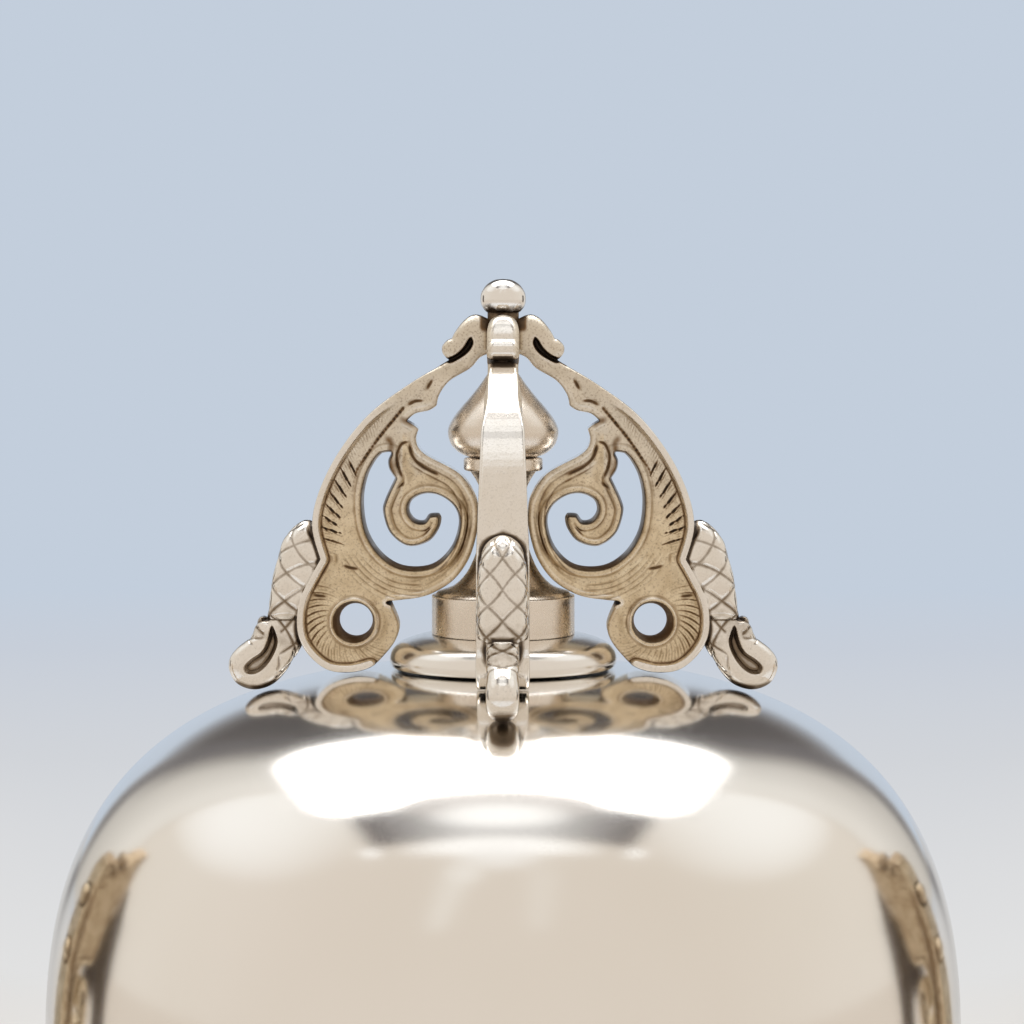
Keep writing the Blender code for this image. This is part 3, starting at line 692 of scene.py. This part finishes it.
def dome_curve(radius, rise, count):
    start = math.asin((BORE_R / radius) ** (DOME_POWER / 2))
    angle = np.linspace(start, math.pi / 2, count)
    across = radius * np.sin(angle) ** (2 / DOME_POWER)
    drop = rise * (1 - np.clip(np.cos(angle), 0, 1) ** (2 / DOME_POWER))
    return np.stack([across, APEX - drop], 1)


def build_dome(finish):
    count = 220 if FINE else 110
    outside = dome_curve(DOME_R, DOME_RISE, count)
    inside = dome_curve(DOME_R - SHEET, DOME_RISE - SHEET, 60) - [0, SHEET]
    turned_piece("lid_dome_polished", np.vstack([outside, inside[::-1]]), finish, "lid_dome")


def build_post(saucer_look, satin, ball_look):
    def finial_part(name, profile, finish):
        """A turned part of the finial, its heights taken from the dome's apex."""
        turned_piece(name, [(r, z + APEX) for r, z in profile], finish, "finial_" + name)

    saucer = smooth_through(
        [(8.2, 4.05), (9.2, 4.0), (10.4, 3.82), (11.5, 3.52), (12.4, 3.2), (13.0, 2.9), (13.5, 2.5),
         (13.95, 1.9), (14.2, 1.2), (14.2, 0.6), (14.0, 0.1), (13.6, -0.15)], 8)
    underside = [(12.6, -0.15), (12.2, 0.1), (BORE_R, 0.1)]
    finial_part("saucer", [(BORE_R, 4.0), *saucer, *underside], saucer_look)
    drum = rounded_profile([(BORE_R, 8.95), (8.94, 8.95), (8.94, 4.5), (9.0, 4.06), (BORE_R, 4.06)], 0.22)
    finial_part("drum", drum, satin)
    onion = smooth_through([(0.0, 38.3), (0.9, 37.9), (2.0, 36.5), (2.9, 35.2), (4.1, 33.7), (5.4, 32.2),
                            (6.4, 30.8), (6.9, 29.5), (6.6, 28.0), (5.9, 27.1), (5.0, 26.5), (4.1, 26.2)], 8)
    ring = rounded_profile([(4.1, 26.2), (4.94, 26.1), (4.94, 24.6), (4.1, 24.4)], 0.3)
    neck = smooth_through([(4.1, 24.4), (3.4, 23.3), (2.9, 22.1), (2.68, 20.0), (2.72, 17.5), (3.1, 15.2),
                           (3.8, 13.2), (4.75, 11.5), (6.2, 10.1), (8.2, 9.35)], 8)
    bore = [(8.5, 8.98), (BORE_R, 8.98), (BORE_R, 14.0), (0.0, 14.0)]
    finial_part("baluster", [*onion[:-1], *ring[:-1], *neck, *bore], satin)
    ball = smooth_through([(0.0, 48.4), (1.1, 48.25), (2.1, 47.65), (2.7, 46.8), (2.86, 45.95), (2.75, 45.2),
                           (2.3, 44.5), (1.95, 44.2)], 8)
    finial_part("ball", [*ball, (1.95, 38.9), (1.7, 38.6), (0.0, 38.6)], ball_look)


BOWL_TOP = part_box("bowl_shell")[1].z / MM
BOWL_OUTSIDE = [(DOME_R, BOWL_TOP), (57.7, 83.5), (60.6, 76.5), (64.6, 68.0), (66.0, 60.0), (63.9, 48.0),
                (56.0, 36.0), (43.5, 28.0), (30.0, 23.6), (17.0, 21.8), (0.0, 21.4)]
FOOT_TOP = [(13.5, 12.6), (17.0, 12.0), (22.0, 9.6), (27.0, 6.4), (33.0, 4.4), (39.0, 3.5)]


def offset_inward(profile, distance):
    """A profile moved towards the axis side."""
    along = np.gradient(profile, axis=0)
    along /= np.linalg.norm(along, axis=1, keepdims=True)
    moved = profile + distance * np.stack([along[:, 1], -along[:, 0]], 1)
    moved[:, 0] = np.maximum(moved[:, 0], 0)
    return moved


def wire(inner_r, low, high, reach):
    """Section of an applied wire: flat inside, a round between two thin fillets outside."""
    middle, half = (low + high) / 2, (high - low) / 2
    angles = np.radians(np.linspace(-90, 90, 17))
    bulge = np.stack([inner_r + 0.45 + (reach - 0.45) * np.cos(angles),
                      middle - (half - 0.5) * np.sin(angles)], 1)
    fillet = [(0.0, 0.0), (0.9, 0.0), (1.05, 0.25), (0.7, 0.5)]
    upper = [(inner_r + out, high - down) for out, down in fillet]
    lower = [(inner_r + out, low + down) for out, down in reversed(fillet)]
    return [*upper, *bulge[1:-1], *lower]


def build_bowl(polished, satin):
    outside = smooth_through(BOWL_OUTSIDE, 12)
    inside = offset_inward(outside, SHEET)
    inside[0] = (DOME_R - SHEET, BOWL_TOP)
    inside[-1] = (0.0, BOWL_OUTSIDE[-1][1] + SHEET)
    turned_piece("bowl_raised", [*outside[::-1], *inside], polished, "bowl_shell")
    turned_piece("bowl_wire", wire(DOME_R + 0.5, BOWL_TOP - 3.4, BOWL_TOP, 2.2), polished, "bowl_rim_wire")
    turned_piece("lid_wire", wire(DOME_R + 0.3, DOME_LOW.z, DOME_LOW.z + 3.2, 2.4), polished, "lid_rim_wire")
    inner_r, edge = DOME_R - SHEET, DOME_LOW.z
    bezel = [(-1.7, 4.5), (-0.3, 4.5), (-0.3, 0.6), (-0.7, -0.3), (-0.7, -6.2), (-1.7, -6.2), (-1.7, 4.4)]
    bezel = rounded_profile([(inner_r + out, edge + over) for out, over in bezel], 0.3)
    turned_piece("bezel", bezel, satin, "lid_bezel")

    stem = smooth_through([(0.0, 21.1), (8.0, 21.1), (15.3, 21.1), (15.5, 20.7), (13.6, 20.0), (11.4, 18.6),
                           (10.4, 17.0), (10.6, 15.4), (12.0, 13.9), (14.0, 12.95)])
    ring = [(11.6 + 1.1 * math.cos(a), 17.0 + 0.8 * math.sin(a))
            for a in np.radians(np.linspace(100, -100, 11))]
    stem = [p for p in stem if p[1] > 17.85] + ring + [p for p in stem if p[1] < 16.15]
    turned_piece("stem", [*stem, (0.0, 12.95)], satin, "foot_stem")
    top = smooth_through(FOOT_TOP, 10)
    turned_piece("foot_raised", [*top, *offset_inward(top, SHEET)[::-1]], polished, "foot_base")
    rim = [(36.6, 0.0), (36.6, 1.9), (39.3, 1.9), (39.6, 3.1), *smooth_through(
        [(39.9, 3.1), (40.8, 2.9), (41.6, 2.3), (42.0, 1.3), (41.7, 0.5), (40.8, 0.0)], 5)]
    turned_piece("foot_wire", rim, polished, "foot_rim_wire")


# ---- materials ----

class Nodes:
    """Short helper for building a material's node tree."""

    def __init__(self, name):
        self.material = bpy.data.materials.new(name)
        self.material.use_nodes = True
        self.tree = self.material.node_tree
        self.shader = self.tree.nodes["Principled BSDF"]
        self.place = self.add("ShaderNodeTexCoord").outputs["Object"]

    def add(self, kind, inputs=None, **settings):
        node = self.tree.nodes.new(kind)
        for key, value in settings.items():
            setattr(node, key, value)
        for key, value in (inputs or {}).items():
            self.link(value, node.inputs[key])
        return node

    def link(self, source, target):
        """Sets an input from a number, a colour or another node's output."""
        if isinstance(source, tuple):
            target.default_value = (*source, 1.0)
        elif isinstance(source, (int, float)):
            target.default_value = source
        else:
            self.tree.links.new(source, target)

    def noise(self, scale, detail=3.0, roughness=0.6, stretch=(1, 1, 1)):
        mapping = self.add("ShaderNodeMapping", {"Vector": self.place})
        mapping.inputs["Scale"].default_value = stretch
        return self.add("ShaderNodeTexNoise", {"Scale": scale, "Detail": detail, "Roughness": roughness,
                                               "Vector": mapping.outputs["Vector"]}).outputs["Fac"]

    def math(self, operation, a, b=0.0, c=0.0, clamp=False):
        inputs = dict(enumerate((a, b, c)))
        return self.add("ShaderNodeMath", inputs, operation=operation, use_clamp=clamp).outputs[0]

    def times(self, a, *factors):
        for b in factors:
            a = self.math("MULTIPLY", a, b)
        return a

    def remap(self, value, low, high, out_low=0, out_high=1):
        return self.add("ShaderNodeMapRange", {"From Min": low, "From Max": high, "To Min": out_low,
                                               "To Max": out_high, "Value": value}).outputs["Result"]

    def mix(self, share, first, second):
        """Blend of two colours, each a tuple or a socket."""
        return self.add("ShaderNodeMix", {0: share, 6: first, 7: second}, data_type="RGBA").outputs[2]

    def split(self, vector):
        return self.add("ShaderNodeSeparateXYZ", {0: vector}).outputs

    def channel(self, name):
        return self.add("ShaderNodeAttribute", attribute_name=name).outputs["Fac"]

    def bump(self, layers):
        """Chained bumps from (height, distance in metres, strength)."""
        below = {}
        for height, distance, strength in layers:
            node = self.add("ShaderNodeBump", {"Distance": distance, "Strength": strength, "Height": height,
                                               **below})
            below = {"Normal": node.outputs["Normal"]}
        self.link(below["Normal"], self.shader.inputs["Normal"])

    def finish(self, colour, roughness, metallic=1.0):
        for name, value in (("Base Color", colour), ("Roughness", roughness), ("Metallic", metallic)):
            self.link(value, self.shader.inputs[name])
        return self.material


def polished_silver(name="polished_silver_look", rough_low=0.09):
    n = Nodes(name)
    broad = n.noise(28, 2)
    fine = n.noise(4200, 3, 0.7)
    hair = n.noise(900, 3, 0.7, (1, 1, 9))
    colour = n.mix(n.remap(broad, 0.35, 0.65), (0.965, 0.945, 0.92), (0.94, 0.92, 0.885))
    rough = n.math("ADD", n.remap(fine, 0.3, 0.7, rough_low, rough_low + 0.07),
                   n.remap(hair, 0.55, 0.75, 0.0, 0.04))
    n.bump([(broad, 0.00025, 0.10), (fine, 0.00001, 0.3)])
    return n.finish(colour, rough)


def satin_silver():
    n = Nodes("satin_silver_look")
    rings = n.noise(260, 4, 0.65, (0.3, 0.3, 14))
    grain = n.noise(2600, 3, 0.6)
    colour = n.mix(n.remap(n.noise(160, 4), 0.35, 0.7), (0.88, 0.81, 0.73), (0.79, 0.71, 0.62))
    rough = n.remap(grain, 0.3, 0.7, 0.24, 0.32)
    n.bump([(rings, 0.0001, 0.08), (grain, 0.00001, 0.12)])
    return n.finish(colour, rough)


def ball_silver():
    """Polished silver with painted shade where the ball's underside meets the brackets' heads: black at the
    crease, brown on the stem below.
    """
    n = Nodes("ball_silver_look")
    ragged = n.math("ADD", n.split(n.place)["Z"], n.remap(n.noise(700, 4), 0.3, 0.7, -0.0005, 0.0005))
    # Painted shade under the ball, ragged at its edge.
    ball_underside_shade = n.remap(ragged, (APEX + 44.5) * MM, (APEX + 45.2) * MM, 1, 0)
    below = n.remap(ragged, (APEX + 43.6) * MM, (APEX + 44.2) * MM, 1, 0)
    colour = n.mix(ball_underside_shade, (0.95, 0.93, 0.90), n.mix(below, (0.06, 0.042, 0.03), (0.30, 0.22, 0.145)))
    n.bump([(n.noise(420, 3), 0.0001, 0.12)])
    return n.finish(colour, n.remap(ball_underside_shade, 0, 1, 0.14, 0.5))


def cast_silver():
    n = Nodes("cast_silver_look")
    cavity_patina_and_shade, shine, warm = (n.channel(name) for name in ("cavity_patina_and_shade", "shine", "warm"))
    mottle = n.noise(420, 5, 0.65)
    pits = n.noise(3600, 2, 0.6)
    cloud = n.remap(mottle, 0.3, 0.7)
    gold = n.mix(cloud, (0.92, 0.80, 0.60), (0.67, 0.54, 0.36))
    pale = n.mix(cloud, (0.86, 0.79, 0.68), (0.72, 0.65, 0.54))
    bright = n.mix(cloud, (0.94, 0.91, 0.87), (0.89, 0.85, 0.79))
    metal = n.mix(shine, n.mix(warm, pale, gold), bright)
    # Brown, then near black, as the channel rises: patina, dirt and painted crevice shade.
    ragged = n.math("ADD", cavity_patina_and_shade, n.remap(mottle, 0.3, 0.7, -0.12, 0.12))
    speckle = n.times(n.remap(pits, 0.52, 0.72, 0, 0.5), n.remap(shine, 0, 0.8, 1, 0.25))
    stain_and_shade = n.math("MAXIMUM", n.remap(ragged, 0.12, 0.55), speckle)
    brown = n.mix(stain_and_shade, metal, n.mix(shine, (0.27, 0.17, 0.09), (0.24, 0.185, 0.13)))
    black = n.remap(ragged, 0.55, 0.98)
    colour = n.mix(black, brown, (0.045, 0.030, 0.020))
    rough = n.math("ADD", n.remap(shine, 0, 1, 0.42, 0.13), n.times(stain_and_shade, 0.2))
    n.bump([(mottle, 0.00012, 0.12), (pits, 0.00004, 0.25)])
    return n.finish(colour, rough, n.remap(black, 0, 1, 1.0, 0.5))


# ---- stage, light and camera ----

def linear(r, g, b):
    """Display colour 0-255 as scene light."""
    return tuple(((c / 255 + 0.055) / 1.055) ** 2.4 if c > 10 else c / 3294 for c in (r, g, b))


class Directions(Nodes):
    """The world's node tree. Places on the ceiling are (x/z, y/z), as seen from the lid."""

    def __init__(self):
        world = bpy.data.worlds.new("studio")
        bpy.context.scene.world = world
        world.use_nodes = True
        self.tree = world.node_tree
        self.x, self.y, self.z = self.split(self.add("ShaderNodeTexCoord").outputs["Generated"])
        lifted = self.math("MAXIMUM", self.z, 0.02)
        self.over = self.remap(self.z, 0.05, 0.12)
        self.right = self.math("DIVIDE", self.x, lifted)
        self.beyond = self.math("DIVIDE", self.y, lifted)
        level = self.math("SQRT", self.squares(self.x, self.y))
        self.back = self.math("DIVIDE", self.y, self.math("MAXIMUM", level, 0.001))
        self.colour = None

    def squares(self, a, b):
        return self.math("ADD", self.times(a, a), self.times(b, b))

    def window(self, value, low, high, soft):
        """1 between two values."""
        rise = self.remap(value, low - soft, low + soft)
        return self.times(rise, self.remap(value, high - soft, high + soft, 1, 0))

    def blob(self, centre, size, inner=0.2, outer=1.5, mirrored=False):
        """1 at a place on the ceiling, fading out round it."""
        places = (self.math("ABSOLUTE", self.right) if mirrored else self.right, self.beyond)
        parts = (self.math("DIVIDE", self.math("SUBTRACT", place, middle), reach)
                 for place, middle, reach in zip(places, centre, size))
        return self.times(self.remap(self.squares(*parts), inner, outer, 1, 0), self.over)

    def panel(self, across, along, soft):
        """1 inside a rectangle on the ceiling."""
        shape = self.times(self.window(self.right, *across, soft), self.window(self.beyond, *along, soft))
        return self.times(shape, self.over)

    def rounded_panel(self, centre, half, radius, soft):
        """1 inside a round-cornered rectangle on the ceiling."""
        excess = []
        for place, middle, reach in zip((self.right, self.beyond), centre, half):
            offset = self.math("ABSOLUTE", self.math("SUBTRACT", place, middle))
            excess.append(self.math("MAXIMUM", self.math("SUBTRACT", offset, reach - radius), 0.0))
        away = self.math("SQRT", self.squares(*excess))
        return self.times(self.remap(away, radius - soft, radius + soft, 1, 0), self.over)

    def paint(self, share, colour, strength=1.0):
        self.colour = self.mix(self.times(share, strength), self.colour, colour)


STAND = linear(58, 47, 40)
CORNER = linear(112, 109, 110)
FLOOR_COLOURS = [(0.0, (216, 205, 192)), (0.30, (222, 217, 210)), (0.46, (225, 225, 225)),
                 (0.64, (219, 220, 222)), (0.90, (209, 212, 217)), (1.28, (199, 206, 217)),
                 (1.60, (195, 206, 220))]
FLOOR_R = 4.0
FLOOR_SIDES = 96


def paint_walls(w):
    """Warm front, pale side walls that end in grey strips, pale blue backdrop, a dark stand each side."""
    w.colour = w.mix(w.remap(w.back, -0.6, 0.2), linear(221, 211, 199), linear(226, 218, 207))
    w.paint(w.blob((0.95, 0.45), (0.62, 0.68), 0.0, 1.7, mirrored=True), linear(252, 250, 246))
    wall = w.mix(w.remap(w.back, 0.66, 0.88), linear(230, 226, 219), linear(188, 184, 178))
    w.paint(w.window(w.back, 0.58, 0.90, 0.008), wall, 0.9)
    w.paint(w.window(w.back, 0.568, 0.588, 0.006), linear(206, 192, 176), 0.5)
    backdrop = w.mix(w.remap(w.z, 0.20, 0.34, 1, 0), linear(150, 147, 145), linear(195, 206, 220))
    w.paint(w.remap(w.back, 0.895, 0.915), backdrop)
    behind = w.times(w.remap(w.back, 0.80, 0.89), w.remap(w.y, 0.2, 0.4))
    slate = w.mix(w.remap(w.math("ABSOLUTE", w.x), 0.05, 0.42), linear(62, 58, 57), linear(104, 100, 99))
    w.paint(w.times(behind, w.window(w.z, 0.30, 0.72, 0.09)), slate)
    corner = w.times(w.window(w.back, 0.865, 0.91, 0.012), w.remap(w.z, -0.15, 0.08))
    w.paint(corner, CORNER, w.remap(w.z, 0.7, 0.5, 0, 0.85))
    w.paint(w.times(w.window(w.back, 0.40, 0.60, 0.02), w.remap(w.z, 0.16, 0.11)), STAND)


def paint_ceiling(w):
    """Dark flags with bright gaps in front of the big softbox, and streaks in front of them."""
    centre = w.remap(w.math("ABSOLUTE", w.right), 0.12, 0.45)
    flags = w.mix(centre, linear(212, 210, 208), linear(104, 98, 97))
    w.paint(w.panel((-0.49, 0.48), (-0.29, 0.06), 0.03), flags)
    w.paint(w.blob((-0.01, -0.365), (0.34, 0.085), 0.3, 1.6), (1.16, 1.15, 1.13), 0.95)
    w.paint(w.blob((-0.02, -0.47), (0.16, 0.12), 0.1, 1.6), linear(252, 250, 247), 0.75)
    for start, slant, share in ((0.06, 0.385, 0.75), (0.12, -0.09, 0.4)):
        line = w.math("SUBTRACT", w.right, w.math("MULTIPLY_ADD", w.beyond, slant, start))
        streak = w.remap(w.math("ABSOLUTE", line), 0.02, 0.12, 1, 0)
        streak = w.times(streak, w.window(w.beyond, -1.4, -0.55, 0.1), w.over)
        w.paint(streak, linear(236, 231, 223), share)
    w.paint(w.blob((0.52, -0.34), (0.055, 0.055), 0.1, 1.2, mirrored=True), (1.15, 1.14, 1.12))
    w.paint(w.blob((-0.17, -0.63), (0.09, 0.12), 0.0, 1.4), linear(244, 240, 234), 0.7)
    w.paint(w.rounded_panel((-0.01, 0.455), (0.65, 0.45), 0.2, 0.03), linear(172, 167, 163), 0.6)
    w.paint(w.rounded_panel((-0.01, 0.46), (0.60, 0.425), 0.18, 0.03), (3.0, 2.98, 2.93))
    arch = w.mix(centre, linear(228, 223, 219), linear(150, 144, 141))
    w.paint(w.blob((-0.01, 0.02), (0.31, 0.125), 0.8, 1.1), arch)
    w.paint(w.blob((-0.01, -0.09), (0.19, 0.10), 0.3, 1.6), (1.15, 1.14, 1.12))


def build_world():
    """A photo studio as the lid shows it."""
    world = Directions()
    paint_walls(world)
    paint_ceiling(world)
    world.link(world.colour, world.tree.nodes["Background"].inputs["Color"])


def floor_look():
    """Pale round the object; further out it glows with the studio's own colours and its strips and stands."""
    n = Nodes("floor_look")
    away = n.add("ShaderNodeVectorMath", {0: n.place}, operation="LENGTH").outputs["Value"]
    x, y, _ = n.split(n.place)
    aside = n.math("SUBTRACT", n.math("ABSOLUTE", x), n.times(y, 0.2))
    beyond = n.math("SUBTRACT", y, n.math("MAXIMUM", aside, 0.0))
    n.bump([(n.noise(900, 3), 0.00005, 0.1)])
    material = n.finish((0.80, 0.81, 0.83), 0.8, 0.0)
    n.shader.inputs["Specular IOR Level"].default_value = 0.2
    sideways = n.math("DIVIDE", y, n.math("MAXIMUM", away, 0.01))
    stand = n.times(n.remap(sideways, 0.38, 0.42), n.remap(sideways, 0.62, 0.58), n.remap(away, 0.9, 1.2))
    grey = n.times(n.remap(sideways, 0.78, 0.85, 0, 0.8), n.remap(sideways, 0.94, 0.96, 1, 0))
    corner = n.times(n.remap(sideways, 0.855, 0.88), n.remap(sideways, 0.90, 0.92, 1, 0),
                     n.remap(away, 0.6, 1.75, 0.05, 0.8))
    fade = n.add("ShaderNodeValToRGB", {"Fac": n.math("MULTIPLY", beyond, 0.5, clamp=True)})
    while len(fade.color_ramp.elements) < len(FLOOR_COLOURS):
        fade.color_ramp.elements.new(1.0)
    for element, (reach, colour) in zip(fade.color_ramp.elements, FLOOR_COLOURS):
        element.position = reach / 2
        element.color = (*linear(*colour), 1.0)
    # Painted light and shade: the far floor glows, with the stands' dark bands and the grey strips in its
    # colour.
    ground = n.mix(grey, fade.outputs["Color"], linear(200, 199, 198))
    ground = n.mix(stand, n.mix(corner, ground, CORNER), STAND)
    glow = n.add("ShaderNodeEmission", {"Color": ground})
    near = n.shader.outputs[0]
    blend = n.add("ShaderNodeMixShader", {0: n.remap(away, 0.3, 0.5), 1: near, 2: glow.outputs[0]})
    n.link(blend.outputs[0], n.tree.nodes["Material Output"].inputs["Surface"])
    return material


def build_stage():
    """A round pale floor: warm in front, taking the backdrop's blue behind the object."""
    mesh = bpy.data.meshes.new("floor")
    angles = [math.tau * k / FLOOR_SIDES for k in range(FLOOR_SIDES)]
    ring = [(FLOOR_R * math.cos(a), FLOOR_R * math.sin(a), 0.0) for a in angles]
    mesh.from_pydata(ring, [], [list(range(FLOOR_SIDES))])
    mesh.materials.append(floor_look())
    placed("floor", mesh)


def build_camera():
    """Stands 437 mm in front of the axis, 50 mm over the lid's apex, looking slightly down at the finial."""
    shift, away, over, aim = 1.1, 437.0, 50.2, 19.3
    view_width = 128.0
    data = bpy.data.cameras.new("camera")
    data.sensor_width = 36.0
    data.lens = data.sensor_width * math.hypot(away, over - aim) / view_width
    data.clip_start, data.clip_end = 0.01, 50.0
    camera = placed("camera", data)
    camera.location = Vector((shift, -away, APEX + over)) * MM
    target = Vector((shift, 0.0, APEX + aim)) * MM
    camera.rotation_euler = (target - camera.location).to_track_quat("-Z", "Y").to_euler()
    bpy.context.scene.camera = camera


# ---- build ----

polished, satin, cast_look = polished_silver(), satin_silver(), cast_silver()
build_dome(polished)
build_post(polished_silver("saucer_silver_look", 0.17), satin, ball_silver())
build_brackets(cast_look)
build_handles(cast_look)
build_bowl(polished, satin)
for node, shown in frame["nodes"].items():
    look = polished if "plate" in node else satin
    for material_slot in shown.material_slots:
        material_slot.material = look
build_world()
build_stage()
build_camera()
bpy.context.scene.view_settings.view_transform = "Standard"
